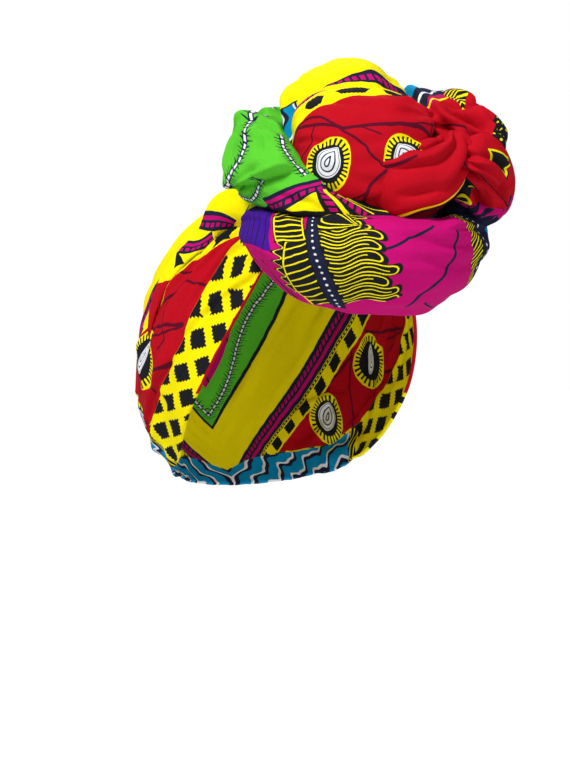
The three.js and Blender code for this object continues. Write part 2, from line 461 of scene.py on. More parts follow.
pinkedSquares = nodeGroup(
    "pinkedSquares",
    {"X": 0, "Y": 0, "PitchX": 13, "PitchY": 14, "HalfX": 4.8, "HalfY": 5.4, "Lean": 0},
    ["Squares"],
    pinkedFormula,
)


def ropeFormula(x, y, width):
    # a dark band with slanting blocks beside a plain stripe; x runs along it, y across from its middle
    band = ink(size(y) - width * 0.5)
    slant = remainder(x + y * 0.5, 4.4)
    blocks = ink(size(slant - 2.2) - 1.35) * ink(size(y - width * 0.17) - width * 0.11)
    stripe = ink(size(y + width * 0.18) - width * 0.1)
    return band, most(blocks, stripe)


ropeBand = nodeGroup("ropeBand", {"X": 0, "Y": 0, "Width": 11}, ["Dark", "Bright"], ropeFormula)


def beadFormula(x, y, width, hair):
    # a dark line with light dashes and a fringe of hairs on both sides
    far = size(y) - width * 0.5
    dash = ink(size(remainder(x, 3.0) - 1.5) - 1.05) * ink(size(y) - width * 0.24)
    comb = size(remainder(x + size(y) * 0.4 + sine(x * 0.9) * 0.3, 1.9) - 0.95) - 0.36
    comb = comb + far / most(hair, 0.1) * 0.22
    hairs = ink(comb) * ink(far - hair * (0.75 + sine(x * 1.3) * 0.25))
    return most(ink(far), hairs), dash


beadLine = nodeGroup("beadLine", {"X": 0, "Y": 0, "Width": 2.6, "Hair": 2.6}, ["Dark", "Light"], beadFormula)


def featherFormula(x, y, long, side, pitch):
    # looped barbs beside a stem; y runs down the stem and x away from it
    sag = y - x * 0.06 + sine(x * 0.3 + y * 0.09) * 1.5 - (x / 36) ** 2 * 4
    r = row(sag, pitch)
    v = (remainder(sag, pitch) - pitch * 0.5) / (pitch * 0.5)
    tip = side * (0.9 + sine(r * 2.4) * 0.1)
    over = most(x - tip + 3, 0.0) / 3
    q = root(v * v + over * over)
    inside = above(sag, 0.0) * below(sag, long) * above(x, 0.0)
    loop = ink((size(q - 0.72) - 0.105) * 2.8)
    vein = ink((size(v + sine(x * 0.5) * 0.1) - 0.085) * 2.8)
    vein = vein * ink(x - tip + 5 + sine(r * 3.1) * 4) * ink(1.5 - x)
    dark = most(ink((q - 1.35) * 2.5), ink(x - tip + 1)) * inside
    return dark, most(loop, vein) * inside


featherBarbs = nodeGroup(
    "featherBarbs", {"X": 0, "Y": 0, "Long": 60, "Side": 28, "Pitch": 6}, ["Dark", "Lines"], featherFormula
)


def waveFormula(x, y, pitch):
    # long waves, a dark one with a light one on its edge
    w = remainder(y + sine(x * 0.22) * 2.4 + sine(x * 0.5 + 1) * 0.8, pitch)
    return ink(size(w - pitch * 0.3) - pitch * 0.2), ink(size(w - pitch * 0.42) - pitch * 0.08)


waves = nodeGroup("waves", {"X": 0, "Y": 0, "Pitch": 10}, ["Dark", "Light"], waveFormula)


def weaveFormula(place, pitch):
    # a plain weave with slubs and soft crumples: its height, its shade and how rough it is
    tree = place.tree
    split = tree.nodes.new("ShaderNodeSeparateXYZ")
    tree.links.new(place.socket, split.inputs[0])
    x, y = Field(tree, split.outputs[0]) * perMetre, Field(tree, split.outputs[1]) * perMetre

    def noise(scale, detail):
        node = tree.nodes.new("ShaderNodeTexNoise")
        node.inputs["Scale"].default_value = scale
        node.inputs["Detail"].default_value = detail
        tree.links.new(place.socket, node.inputs["Vector"])
        return Field(tree, node.outputs["Fac"])

    slub, crumple, cloudy = noise(900, 1), noise(45, 3), noise(18, 1)
    turns = pitch ** -1 * (2 * math.pi)
    thread = sine(x * turns) * sine(y * turns) * 0.5 + (slub - 0.5) * 0.9
    shade = 0.93 + (cloudy - 0.5) * 0.16 + (slub - 0.5) * 0.12 + thread * 0.07
    return thread * 0.09 + crumple * 2.2, shade, 0.74 + cloudy * 0.16 - thread * 0.05


weave = nodeGroup(
    "plainWeave", {"Place": None, "Pitch": 0.45}, ["Height", "Shade", "Roughness"], weaveFormula
)

inks = {
    "yellow": (0.98, 0.84, 0.0), "red": (0.50, 0.002, 0.012), "magenta": (0.56, 0.002, 0.165),
    "black": (0.010, 0.011, 0.014), "navy": (0.013, 0.015, 0.045), "green": (0.10, 0.56, 0.03),
    "purple": (0.06, 0.006, 0.30), "blue": (0.0, 0.27, 0.58), "white": (0.86, 0.89, 0.94),
    "wine": (0.105, 0.003, 0.018),
}
clothFinish = {"threadBump": 0.75, "bumpDepth": 0.0009, "specular": 0.09, "warp": 1.2, "warpScale": 130}


def printedCloth(name, ground, draw):
    # cotton in one ground colour with inks laid over it in order
    material = bpy.data.materials.new(name)
    material.use_nodes = True
    tree = material.node_tree
    shader = tree.nodes["Principled BSDF"]
    uv = tree.nodes.new("ShaderNodeUVMap")
    uv.uv_map = "clothPlace"
    wobble = tree.nodes.new("ShaderNodeTexNoise")
    wobble.inputs["Scale"].default_value = clothFinish["warpScale"]
    wobble.inputs["Detail"].default_value = 1
    tree.links.new(uv.outputs[0], wobble.inputs["Vector"])
    split = tree.nodes.new("ShaderNodeSeparateXYZ")
    tree.links.new(uv.outputs[0], split.inputs[0])
    parts = tree.nodes.new("ShaderNodeSeparateXYZ")
    tree.links.new(wobble.outputs["Color"], parts.inputs[0])
    warp = clothFinish["warp"]
    x = Field(tree, split.outputs[0]) * perMetre + (Field(tree, parts.outputs[0]) - 0.5) * warp
    y = Field(tree, split.outputs[1]) * perMetre + (Field(tree, parts.outputs[1]) - 0.5) * warp
    base = tree.nodes.new("ShaderNodeRGB").outputs[0]
    base.default_value = (*inks[ground], 1)
    colour = base
    for inkName, mask in draw(x, y):
        mix = tree.nodes.new("ShaderNodeMix")
        mix.data_type = "RGBA"
        tree.links.new(mask.socket, mix.inputs["Factor"])
        tree.links.new(colour, mix.inputs[6])
        mix.inputs[7].default_value = (*inks[inkName], 1)
        colour = mix.outputs[2]
    cloth = tree.nodes.new("ShaderNodeGroup")
    cloth.node_tree = weave
    tree.links.new(uv.outputs[0], cloth.inputs["Place"])
    shaded = tree.nodes.new("ShaderNodeMix")
    shaded.data_type = "RGBA"
    shaded.blend_type = "MULTIPLY"
    shaded.inputs["Factor"].default_value = 1
    tree.links.new(colour, shaded.inputs[6])
    tree.links.new(cloth.outputs["Shade"], shaded.inputs[7])
    tree.links.new(shaded.outputs[2], shader.inputs["Base Color"])
    tree.links.new(cloth.outputs["Roughness"], shader.inputs["Roughness"])
    bump = tree.nodes.new("ShaderNodeBump")
    bump.inputs["Strength"].default_value = clothFinish["threadBump"]
    bump.inputs["Distance"].default_value = clothFinish["bumpDepth"]
    tree.links.new(cloth.outputs["Height"], bump.inputs["Height"])
    tree.links.new(bump.outputs[0], shader.inputs["Normal"])
    shader.inputs["Specular IOR Level"].default_value = clothFinish["specular"]
    return material


def strokeFrame(x, y, start, end, bow, reach):
    # a mask of the cloth within reach of a bowed line, and the distances along and off it
    ends = {"fromX": start[0], "fromY": start[1], "toX": end[0], "toY": end[1]}
    return placed(bowedLine, x, y, **ends, bow=bow, width=2 * reach)


def path(x, y, points, width, bows=None):
    # a line of short bowed strokes through points, as one mask
    mask = None
    for i, (start, end) in enumerate(zip(points, points[1:])):
        bow = bows[i] if bows else 0
        stroke = strokeFrame(x, y, start, end, bow, width / 2)[0]
        mask = stroke if mask is None else most(mask, stroke)
    return mask


def beads(x, y, start, end, bow=0, width=2.7, hair=2.7):
    window, along, off = strokeFrame(x, y, start, end, bow, 8)
    dark, light = placed(beadLine, along, off, width=width, hair=hair)
    yield "navy", dark * window
    yield "white", light * window


def rope(x, y, start, end, bow=0, width=11):
    window, along, off = strokeFrame(x, y, start, end, bow, width)
    dark, bright = placed(ropeBand, along, off, width=width)
    yield "navy", dark * window
    yield "magenta", bright * window


def eye(x, y, centre, degrees, long, wide, core=0.27):
    ex, ey = turned(x, y, *centre, degrees)
    yellow, white, black = placed(eyeFigure, ex, ey, long=long, wide=wide, core=core)
    yield "yellow", yellow
    yield "black", black
    yield "white", white


def seaOver(part, x, y, pitch):
    dark, light = placed(waves, x, y, pitch=pitch)
    yield "navy", dark * part
    yield "white", light * part


def blob(x, y, centre, degrees, halfLong, halfWide, point=0.0):
    # an oval, drawn out to a point at one end
    bx, by = turned(x, y, *centre, degrees)
    waist = 1 - bx * (point / halfLong)
    share = root((bx / halfLong) ** 2 + (by / (halfWide * waist)) ** 2)
    return ink((share - 1) * min(halfLong, halfWide))


def corner(x, y, a, b, c):
    # a triangle with corners a, b, c given counter-clockwise
    far = None
    for (ax, ay), (bx, by) in ((a, b), (b, c), (c, a)):
        long = math.hypot(bx - ax, by - ay)
        side = ((x - ax) * (by - ay) - (y - ay) * (bx - ax)) / long
        far = side if far is None else most(far, side)
    return ink(far)


# the cloth over the skull
wrap = {
    "edge": [(0, -19), (25, -21), (40, -28), (54, -46), (66, -80), (78, -112), (92, -139), (104, -154)],
    "forehead": 50, "ear": 103,  # degrees from the front where the edge leaves the bun and meets the nape
    "napeHeight": -169, "rows": 176, "columns": 264, "hem": 2.2, "deepest": -1.6, "edgeFade": 6,
    # folds that fan out from under the bun: start, end, bow, width, height
    "ridges": [((14, 12), (20, 100), 1, 3.5, 0.9), ((26, 20), (30, 120), -2, 4, 1.3),
               ((48, 36), (53, 92), 2, 4, 1.8), ((38, 46), (38, 96), 0, 3, 1.5),
               ((62, 60), (72, 104), 3, 4, 0.9), ((84, 70), (82, 190), 6, 4, -0.7),
               ((104, 36), (104, 230), -5, 5, 0.8), ((126, 30), (124, 250), 4, 6, 0.9),
               ((22, 130), (44, 196), 3, 4, 2.2), ((12, 150), (30, 204), 2, 3, 1.6),
               ((56, 166), (62, 224), 3, 4, 1.4), ((78, 110), (70, 232), -4, 4, 0.4),
               ((94, 60), (92, 210), 3, 3, -0.8), ((115, 50), (112, 240), -3, 3, -0.8),
               ((32, 34), (33, 84), 1, 2.2, 0.9), ((34, 14), (38, 64), 1, 1.6, -1.3),
               ((24, 12), (29, 66), -1, 1.6, -1.2), ((13, 10), (18, 60), 1, 1.5, -1.0),
               ((44, 26), (51, 86), 2, 1.6, -1.3), ((40, 30), (42, 74), 1, 1.4, -0.9),
               ((58, 40), (66, 90), 2, 2, -1.2), ((36, 127), (64, 131), 0, 8, 2.2),
               ((22, 118), (22, 138), 0, 5, -1.6), ((12, 148), (36, 150), 0, 5, 1.2)],
    # folds that lie over their neighbours: start, end, bow, width, height
    "tucks": [((35, 34), (46, 112), -2.5, 9, 3.6), ((41, 30), (60, 96), 2, 8, 2.4),
              ((24, 76), (2, 16), 2, 8, 2.0), ((36, 170), (24, 92), 2, 8, 2.0),
              ((94, 150), (66, 56), 4, 8, 1.5), ((112, 200), (90, 60), 4, 8, 1.4),
              ((74, 206), (54, 158), 3, 7, 1.6)],
    "squares": {
        "turn": 43.2, "centre": (61.8, 12.8), "pitch": (13.2, 14.5), "half": (4.2, 4.7), "shear": 0.0022,
    },
    # dark branches over the red: points and width
    "branches": [
        ([(64, 93), (56.5, 83), (45, 68)], 0.8),
        ([(44, 72), (35.5, 63.5), (27, 53.5)], 0.9),
        ([(41, 58), (42, 67), (47, 83), (53, 95)], 1.1),
        ([(60, 118), (47, 102), (38, 90), (27.5, 76)], 1.3),
        ([(44, 103.5), (37, 93), (27.5, 77)], 0.9),
        ([(46.8, 84.6), (42, 90), (35, 94), (37.4, 103.5)], 0.8),
        ([(37.5, 120), (28.2, 103.7), (24, 95)], 1.6),
        ([(34.7, 115), (26.3, 132)], 1.2),
        ([(55, 112), (47, 128)], 1.2),
        ([(70, 130), (52, 150), (30, 156)], 1.8),
        ([(62, 140), (66, 170), (40, 190)], 1.5),
        ([(66, 168), (50, 176), (34, 172)], 1.2),
    ],
    "eye": {"centre": (98.5, 41), "turn": 162, "size": (32, 23), "core": 0.11},
}


def onHead(way, offset):
    # where a direction from the head's middle meets the skull, moved out by an offset
    x, y, z = np.moveaxis(unit(way), -1, 0)
    wide, long = head["halfWidth"] + offset, head["halfLength"] + offset
    tall = np.where(z > 0, head["crown"], head["nape"]) + offset
    egg = 1.0
    for _ in range(4):
        turn = np.arctan2(x / (wide * egg), -y / long)
        egg = 1 - head["narrowFront"] * np.cos(turn)
    reach = 1 / np.sqrt((x / (wide * egg)) ** 2 + (y / long) ** 2 + (z / tall) ** 2)
    return np.stack([x, y, z], axis=-1) * reach[..., None] - np.array([0, 0, head["crown"]], float)


def skullWay(t, lift):
    # the direction from the head's middle at a turn from the front and a lift, in radians
    egg = 1 - head["narrowFront"] * np.cos(t)
    return np.stack([
        head["halfWidth"] * np.sin(t) * egg * np.cos(lift),
        -head["halfLength"] * np.cos(t) * np.cos(lift),
        np.where(lift > 0, head["crown"], head["nape"]) * np.sin(lift),
    ], axis=-1)


def edgeWay(turn, height):
    # the direction to a place given by its turn from the front in degrees and its height
    up = height + head["crown"]
    lift = np.arcsin(np.clip(up / np.where(up > 0, head["crown"], head["nape"]), -1, 1))
    return skullWay(np.radians(turn), lift)


def wrapGrid():
    # hoops over the head, from the forehead under the bun to the nape, each from ear to ear
    down = np.linspace(0, 1, wrap["rows"])
    turns = np.array([t for t, _ in wrap["edge"]], float)
    heights = np.array([z for _, z in wrap["edge"]], float)
    turn = wrap["forehead"] + (wrap["ear"] - wrap["forehead"]) * down
    height = np.interp(turn, turns, heights)
    reach = wrap["rows"] // 20
    window = 2 * reach + 1
    height = np.convolve(np.pad(height, reach, mode="edge"), np.ones(window) / window, mode="valid")
    right = unit(edgeWay(-turn, height))
    left = right * np.array([-1, 1, 1])
    front = math.asin((wrap["edge"][0][1] + head["crown"]) / head["crown"])
    back = math.pi + math.asin(-(wrap["napeHeight"] + head["crown"]) / head["nape"])
    over = front + (back - front) * down
    top = np.stack([0 * over, -np.cos(over), np.sin(over)], axis=-1)
    normal = unit(np.cross(top - right, left - right))
    middle = normal * (normal * right).sum(-1, keepdims=True)
    u = right - middle
    v = np.cross(normal, u)
    whole = np.arctan2(((left - middle) * v).sum(-1), ((left - middle) * u).sum(-1)) % (2 * np.pi)
    share = np.linspace(0, 1, wrap["columns"])
    share = share - 0.3 * share * (1 - share) * (1 - 0.4 * share) * 1.6  # finer on the wearer's right
    angle = whole[:, None] * share[None, :]
    way = middle[:, None] + u[:, None] * np.cos(angle)[..., None] + v[:, None] * np.sin(angle)[..., None]
    return way


def wrapFolds(x, y):
    # how far the cloth stands off the head, by its distance from the edge and from the bun
    rise = addFolds(wrinkles(y, x) * 0.5, wrap, x, y) * foldDepth["wrap"]
    return np.maximum(rise - 0.4 * smooth(40, 80, x), wrap["deepest"]) * smooth(0, wrap["edgeFade"], x)


def wrapPrint(x, y):
    along, away = y - x * 0.53, x * 0.85  # cloth axes: along the front edge, and away from it
    low = 24.3 + (y - 93) ** 2 * 0.0018
    rise = least(y, 150.0) - 36
    high = 36 + rise * 0.44 - rise * rise * 0.0016
    rim = high + 9
    squares = wrap["squares"]
    px, py = turned(along, away, *squares["centre"], squares["turn"])
    (pitchX, pitchY), (halfX, halfY) = squares["pitch"], squares["half"]
    px = px + py * (least(most(y - 30, 0.0), 90.0) * squares["shear"] + 0.03)
    sizes = {"pitchX": pitchX, "pitchY": pitchY, "halfX": halfX, "halfY": halfY}
    yield "black", placed(pinkedSquares, px + pitchX / 2, pitchY / 2 - py, **sizes)
    # the row of half squares above the red, under a dashed cord
    bits = placed(pinkedSquares, y + 3, (x - high) + 2, pitchX=21, pitchY=30, halfX=5.5, halfY=13, lean=0)
    yield "yellow", ink(low - x)
    yield "black", bits * ink(high + 1.2 - x) * ink(x - rim + 1.5)
    cord = x - rim
    yield "black", ink(size(cord) - 0.8)
    yield "yellow", ink(size(cord) - 0.35) * stripes(y, 3.4, 1.8)
    dark, bright = placed(ropeBand, y, x - rim - 6.6, width=11)
    yield "navy", dark
    yield "magenta", bright
    red = ink(low - x) * ink(x - high)
    yield "red", red
    for points, width in wrap["branches"]:
        yield "wine", path(x, y, points, width) * red
    figure = wrap["eye"]
    yield from eye(along, away, figure["centre"], figure["turn"], *figure["size"], figure["core"])
    yield from eye(along, away, (152, 44), 150, 34, 26)
    yield "red", ink(x - 0.6) * ink(y - 90)
    # over the ears the next figure of the cloth comes round: blue waves after a black and yellow edge
    lobe = ink(x - low + 1) * ink(152 - y)
    yield "black", lobe
    yield "yellow", lobe * stripes(y + x * 0.6, 4.6, 1.3)
    lobe = ink(x - low + 1) * ink(160 - y)
    yield "blue", lobe
    yield from seaOver(lobe, along, away, 11)
    # over the crown: green with bead lines, then magenta with dark veins
    crown = ink(rim + 43 - x)
    yield "green", crown
    dark, light = placed(beadLine, y, x - rim - 54 + sine(y * 0.06) * 5, width=2.6, hair=4)
    yield "navy", dark * crown
    yield "white", light * crown
    yield "navy", ink(size(x - rim - 43) - 1.1)
    top = ink(rim + 66 + sine(y * 0.05) * 4 - x)
    yield "magenta", top
    yield "navy", top * stripes(y + (x - rim) * 0.7 + sine(x * 0.1) * 3, 26, 1.6)


def makeWrap():
    way = wrapGrid()
    skin = onHead(way, head["ease"])
    across = lengths(skin, 1)
    whole = across[:, -1:]
    x = np.minimum(across, whole - across)
    y = lengths(skin, 0)
    folds = wrapFolds(x, y)
    hem = 0.5 * smooth(wrap["hem"] + 0.8, wrap["hem"], x)
    outer = onHead(way, head["ease"] + clothThick + folds + hem)
    inner = onHead(way, head["ease"] + folds - hem * 0.4)
    uv = np.stack([x, y], axis=-1)
    piece = sheetPiece("scalpWrap", outer, inner, uv, printedCloth("wrapCloth", "yellow", wrapPrint))
    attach(piece, "root")
    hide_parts("scalp_wrap")


print("wrap over the skull")
makeWrap()


# the thick pleat over the top of the wrap
pleat = {
    # turn from the front, lift, half width, half thickness, stand-off
    "line": [(-30, 56, 8, 5, 1.5), (-58, 58, 13, 7, 2), (-79, 53, 12, 11.5, 6),
             (-91, 44, 10, 4.2, 1.6), (-101, 32, 8, 2.8, 1.4), (-108, 18, 7, 1.8, 0.8),
             (-111, 4, 4, 1, 0.3)],
    "along": 200, "round": 120,
    "ridges": [((20, -6), (120, 2), 2, 3.5, 2.2), ((24, 10), (110, 9), -2, 4, 2.0),
               ((60, -16), (110, -4), 1, 3, 1.3)],
    "ropes": [((64, 8), (46, -23), 9), ((82, 2), (62, -13), 7)],
}


def pleatPrint(x, y):
    for start, end, width in pleat["ropes"]:
        yield from rope(x, y, start, end, 1, width)
    yield "black", corner(x, y, (84, -9), (91, -5), (84, 2))
    yield "red", ink(104 - x + y * 0.9)
    yield "wine", path(x, y, [(122, 4), (136, -4)], 1.6)
    yield "black", path(x, y, [(84, 24), (100, 16), (118, 20)], 1.2)
    yield "green", ink(16 - y + sine(x * 0.1)) * ink(70 - x)


def makePleat():
    rows = np.array(pleat["line"], float)
    way = skullWay(np.radians(rows[:, 0]), np.radians(rows[:, 1]))
    places = onHead(way, head["ease"] + rows[:, 4])
    knots = np.concatenate([places, rows[:, 2:4]], axis=1)
    roll = rollSurface(knots, pleat["along"], pleat["round"], axis=(0, 0, -head["crown"]))
    roll = displaced(roll, addFolds(0, pleat, roll["x"], roll["y"]))
    piece = rollPiece("upperPleat", roll, printedCloth("pleatCloth", "yellow", pleatPrint))
    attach(piece, "root")
    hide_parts("upper_pleat")


print("pleat over the wrap")
makePleat()


# the rolls and folds of the bun, in its own axes: x to its right, -y to its front, z up

def foldsOf(part, x, y):
    return addFolds(0 * x, part, x, y) * foldDepth["bun"]


def bunRoll(name, node, part, draw, ground, loop=False):
    roll = rollSurface(part["line"], part["along"], part["round"], loop=loop, square=part.get("square", 2))
    x, y = roll["x"], roll["y"]
    half = roll["girth"][:, None] / 2
    calm = smooth(half, half - calmSeam, np.abs(y))
    if loop:
        calm = calm * smooth(0, calmJoin, x) * smooth(roll["whole"], roll["whole"] - calmJoin, x)
    roll = displaced(roll, foldsOf(part, x, y) + wrinkles(x, y) * calm)
    roll["points"] = inBun(roll["points"])
    piece = rollPiece(name, roll, printedCloth(name + "Cloth", ground, draw))
    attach(piece, "root")
    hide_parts(node)
    return piece


lowerRoll = {
    # place, half height, half depth
    "line": [(-58, 2, -21, 12, 13), (-48, -22, -30, 18, 18), (-26, -36, -41, 27, 22),
             (3, -41, -44, 28, 23), (28, -33, -43, 26, 21), (43, -15, -35, 20, 17),
             (48, 8, -21, 16, 15), (45, 31, -3, 14, 15), (28, 49, 11, 14, 14), (0, 55, 15, 14, 14),
             (-30, 47, 9, 13, 14), (-50, 26, -8, 12, 13)],
    "along": 420, "round": 200,
    "ridges": [((6, -14), (44, -30), 1, 3.5, 1.0), ((4, -2), (44, -8), -1, 4, 1.0),
               ((8, 8), (60, 16), 2, 4, 1.1), ((60, -48), (134, -34), 3, 7, 1.2),
               ((112, -34), (146, -2), -3, 5, 1.3), ((90, -30), (140, 12), 4, 7, 0.9),
               ((70, 18), (130, 22), 2, 6, 1.1), ((150, -30), (230, -20), 4, 6, 1.8),
               ((140, 8), (240, 12), -5, 6, 1.8), ((96, -34), (132, -18), 2, 2.4, -0.9),
               ((100, -20), (136, -6), 2, 2.6, -0.8), ((230, -10), (330, -16), 5, 6, 1.8),
               ((240, 24), (330, 10), 4, 6, 1.5), ((128, -8), (160, -14), 1, 3, 1.0)],
    "tucks": [((150, -14), (116, -32), 2, 8, 1.6), ((26, -20), (2, -8), 1, 6, 1.2),
              ((150, 20), (100, 30), 2, 8, 1.4)],
    "stem": ((45, -50), (70, 13)),
    "veins": [([(85, -24), (97, -31), (110, -36.5)], 1.5, [1, 0.5]),
              ([(122, -30), (117, -15), (100.5, 10)], 1.6, [-1, 1]),
              ([(34, -1), (39, 8), (52, 14)], 1.2), ([(109, 8), (116, 16), (128, 20)], 1.3)],
}


def lowerRollPrint(x, y):
    back = ink(158 - x)
    for vein in lowerRoll["veins"]:
        yield "navy", path(x, y, *vein)
    # the feather: its dotted stem, looped barbs on one side and thin ones on the other
    start, end = lowerRoll["stem"]
    window, along, off = strokeFrame(x, y, start, end, -3.5, 60)
    away = off * -1
    dark, lines = placed(featherBarbs, away - 3, along - 6, long=58, side=27, pitch=6.1)
    yield "black", dark * window
    yield "yellow", lines * window
    left = off - 2.5
    edge = 15 - (along - 44) ** 2 * 0.011
    inside = ink(left - edge) * above(left, 0.0) * above(along, 24.0) * below(along, 66.0)
    jag = ink(left - edge - 4 - sine(along * 1.3) * 2.4)
    jag = jag * above(left, 0.0) * above(along, 21.0) * below(along, 58.0)
    yield "black", jag
    yield "yellow", ink(size(left - edge - 2.6 - sine(along * 1.3) * 2.0) - 0.35) * jag * (1 - inside)
    yield "black", inside
    barbs = stripes(along - left * 0.4 + 1, 3.9, 0.75)
    yield "yellow", most(barbs, ink(size(left - edge + 0.4) - 0.4)) * inside
    # a fan of stubs at its root
    fx, fy = turned(x, y, 42, -27, -38)
    fan = ink(most(size(fx) - 9, size(fy) - 9 - fx * 0.12))
    yield "black", fan
    rim = ink(size(most(size(fx) - 8, size(fy) - 8 - fx * 0.12)) - 0.4)
    stubs = stripes(fy * (1 - fx * 0.012) + 50, 2.6, 0.7) * ink(most(size(fx) - 8, size(fy) - 8))
    yield "yellow", most(stubs, rim) * fan
    gx, gy = turned(x, y, 36, -38, -60)
    fan = ink(most(size(gx) - 12, size(gy) - 6))
    yield "black", fan
    yield "yellow", stripes(gy + 20, 3.2, 0.7) * fan
    # two leaves nested at the top
    for centre, degrees, long, wide in [((68, -41), 16, 15, 6.4), ((62, -49), 8, 12, 4.5)]:
        yield "black", blob(x, y, centre, degrees, long + 1.4, wide + 1.4, 1.5)
        yield "yellow", blob(x, y, centre, degrees, long, wide, 1.5)
        yield "black", blob(x, y, centre, degrees, long - 0.9, wide - 0.9, 1.5)
        yield "yellow", blob(x, y, centre, degrees, long - 4, wide - 2.6, 1.2)
        yield "black", blob(x, y, centre, degrees, long - 4.8, wide - 3.4, 1.2)
    yield "black", ink(size(off) - 4.2 + along * 0.015) * window
    yield "navy", ink(size(off) - 3.4 + along * 0.012) * window
    dots = root((remainder(along, 3.3) - 1.65) ** 2 + off ** 2) - 0.62
    yield "white", ink(dots) * window * above(along, 8.0)
    # the dark end behind the twists: yellow hatching and a row of dots on navy
    end = ink(133 - x - (y + 10) ** 2 * 0.004) * ink(y - 6)
    yield "black", end
    yield "yellow", end * stripes(y + x * 0.4, 2.6, 0.8) * ink(x - 142)
    yield "navy", ink(144 - x) * ink(y - 6)
    yield "white", ink(root((remainder(y, 3.4) - 1.7) ** 2 + (x - 147) ** 2) - 0.7)
    low = ink(24 - y - x * 0.02) * ink(96 - x)
    yield "black", low
    yield "red", low * stripes(x + y * 0.8, 7, 3.2)
    # its back: waves, then yellow with pinked squares
    yield "blue", back
    yield from seaOver(back, x, y, 12)
    far = ink(228 - x)
    yield "yellow", far
    yield "black", placed(pinkedSquares, x, y, pitchX=14, pitchY=14.5, halfX=4.8, halfY=5.2, lean=2) * far
    # its start under the side roll: purple with thin dark lines
    purple = ink(x - y * 0.62 - 46 - sine(y * 0.5)) * ink(y - 3 + x * 0.33)
    yield "purple", purple
    yield "navy", stripes(x - y * 0.3 + sine(y * 0.2), 5, 0.9) * purple


sideRoll = {
    "line": [(31, -36, -26, 4, 5), (10, -42, -22, 6, 8), (-14, -44, -16.5, 9.5, 11),
             (-38, -37, -6.5, 14, 13.5), (-58, -18, 10, 22, 15), (-60, 5, 18, 22, 16.5),
             (-47, 29, 25, 18, 16), (-24, 47, 31, 16, 15), (4, 52, 36, 15, 14), (26, 44, 38, 12, 12),
             (38, 33, 38, 8, 8)],
    "along": 360, "round": 180,
    "ridges": [((30, 3), (70, 6), 1, 4, 1.0), ((66, -6), (88, -2), 1, 3, 1.2),
               ((100, 16), (150, 10), 3, 5, 2.0), ((130, -10), (190, -6), 3, 5, 2.4),
               ((150, 20), (220, 14), -3, 5, 2.4), ((180, 0), (250, -8), 4, 5, 2.2),
               ((96, 26), (112, 6), 2, 3, 1.4), ((84, 10), (74, 20), 0, 2.5, 0.8),
               ((120, 24), (112, -8), 2, 3, 1.6), ((84, -2), (62, 4), 1, 2.6, -1.0),
               ((106, 22), (98, 12), 1, 2, -1.2), ((118, -4), (104, -14), 1, 2.4, -1.2),
               ((118, -20), (92, 7), 2, 2.2, -2.0), ((60, 18), (30, 12), 1, 3, -0.9)],
    "tucks": [((80, 13), (116, -18), -2, 9, 5.4), ((104, 30), (124, 6), 2, 7, 2.0),
              ((140, 24), (170, -20), 2, 8, 2.4)],
    # stitched lines: start, end, bow
    "beadLines": [((130, 28), (108, 12.5), -2), ((108.2, 12.6), (105, 1), -1.1),
                  ((105, 1.2), (112, -14), -1.5), ((90.4, 1), (99, -17), -2.4),
                  ((98.8, -16.8), (112, -20), -1.2), ((101, 28), (91, 21.5), 0.5),
                  ((91.2, 21.6), (72.5, 16.5), 0.8)],
    "backBeadLines": [((150, 22), (176, -20), 3), ((196, 24), (186, -24), -3)],
}


def sideRollPrint(x, y):
    for line in sideRoll["beadLines"]:
        yield from beads(x, y, *line)
    # from the rope band on, the next figure of the cloth: black with bands and yellow corners
    edge = (x - 84) * 0.78 + (y + 11) * 0.62
    dark = ink(edge) * ink(x - 96)
    yield "black", dark
    yield from rope(x, y, (84, -11), (62.5, 16), 1, 9)
    yield "yellow", corner(x, y, (73, -6), (62.8, 9), (56, 1))
    yield "magenta", stripes(y + x * 0.3, 3.4, 2.0) * path(x, y, [(62, 13), (50, 1)], 3.4)
    yield "yellow", path(x, y, [(60, 13.5), (45.5, 3)], 2.0)
    yield "magenta", stripes(x, 3.6, 2.2) * path(x, y, [(56, 14.5), (38, 4.5)], 3.2)
    yield "yellow", path(x, y, [(53, 15), (34, 6)], 0.8)
    yield "yellow", path(x, y, [(48, 14.5), (34, 9.5), (14, 8)], 0.7)
    yield "magenta", ink(x - 36) * stripes(x, 5, 1.6) * ink(y)
    # its back part behind the puff: green with more bead lines, then yellow and the rope band again
    for line in sideRoll["backBeadLines"]:
        yield from beads(x, y, *line)
    over = ink(208 - x)
    yield "yellow", over
    yield from rope(x, y, (212, -30), (212, 30), 2, 11)
    yield "red", ink(236 - x)
    yield "wine", path(x, y, [(236, -10), (252, 4), (272, 0)], 1.8, [3, -3])


crescentFold = {
    "line": [(43, -33, 27, 6, 6), (40, -36, 15, 14, 9), (31, -42, 5, 18, 10), (19, -45.5, 0, 17.5, 10),
             (6, -42.5, -4, 17, 8.5), (-8, -34, -9, 11, 5)],
    "along": 190, "round": 120, "square": 2.6,
    "ridges": [((2, 6), (58, 12), -3, 2.2, 1.6), ((4, -2), (54, 0), -2, 6, 1.2),
               ((10, -11), (56, -8), -2, 3, 0.9), ((2, 1), (34, -6), 1, 2.4, 1.2),
               ((12, -16.5), (60, -14), -2, 1.2, 0.9), ((4, 10), (34, 12.5), -1, 1.5, -1.5),
               ((4, 3.5), (44, 6), -2, 1.8, -1.7), ((6, -4), (46, -3), -2, 2.0, -1.7),
               ((8, -12), (30, -13), 0, 1.6, -0.9)],
}


